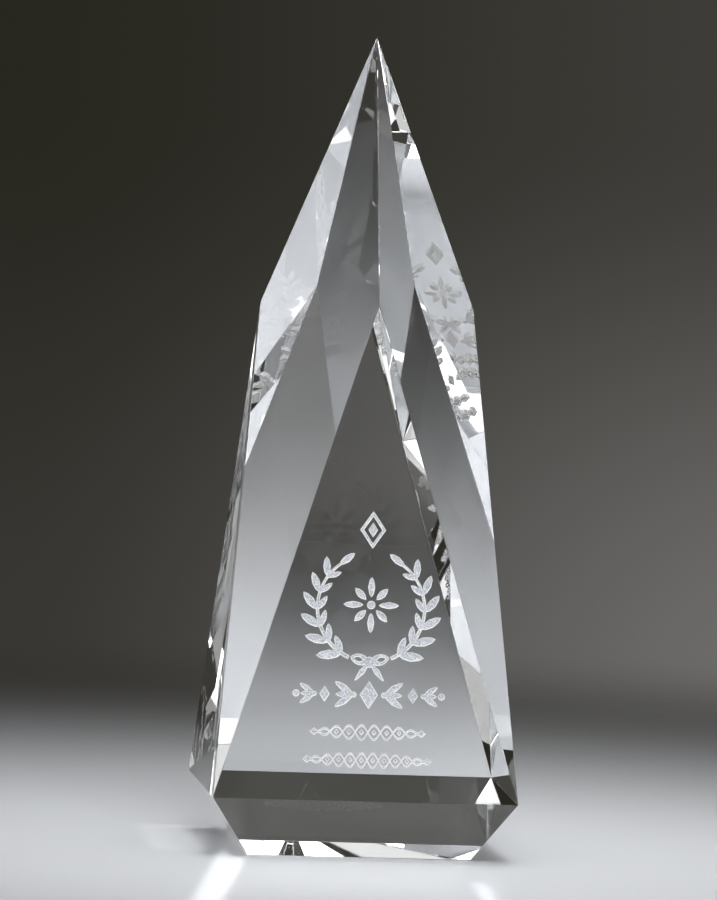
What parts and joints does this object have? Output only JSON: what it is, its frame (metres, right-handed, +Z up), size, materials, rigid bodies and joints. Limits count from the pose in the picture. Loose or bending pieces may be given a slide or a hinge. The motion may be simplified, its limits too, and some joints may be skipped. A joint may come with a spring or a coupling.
{
  "type": "crystal award",
  "caption": "Square faceted obelisk of clear optical glass with a sharp point, an undercut foot and a sandblasted laurel emblem on its front face.",
  "frame": {"origin": "centre of the square foot, on the surface the award stands on", "axes": "+Z up to the point, the engraved face looks towards -Y, +X to the viewer's right when facing the engraving"},
  "size_m": [0.094, 0.094, 0.2535],
  "materials": {
    "crystal": "clear optical glass, every facet polished, fine polished arrises",
    "frost": "sandblasted, matte white, fine even grain"
  },
  "bodies": {
    "root": {"crystal_block": "crystal", "wreath_left": "frost", "wreath_right": "frost", "wreath_tie": "frost", "rosette": "frost", "crest_diamond": "frost", "foliate_band": "frost", "upper_rule": "frost", "lower_rule": "frost"}
  },
  "joints": []
}
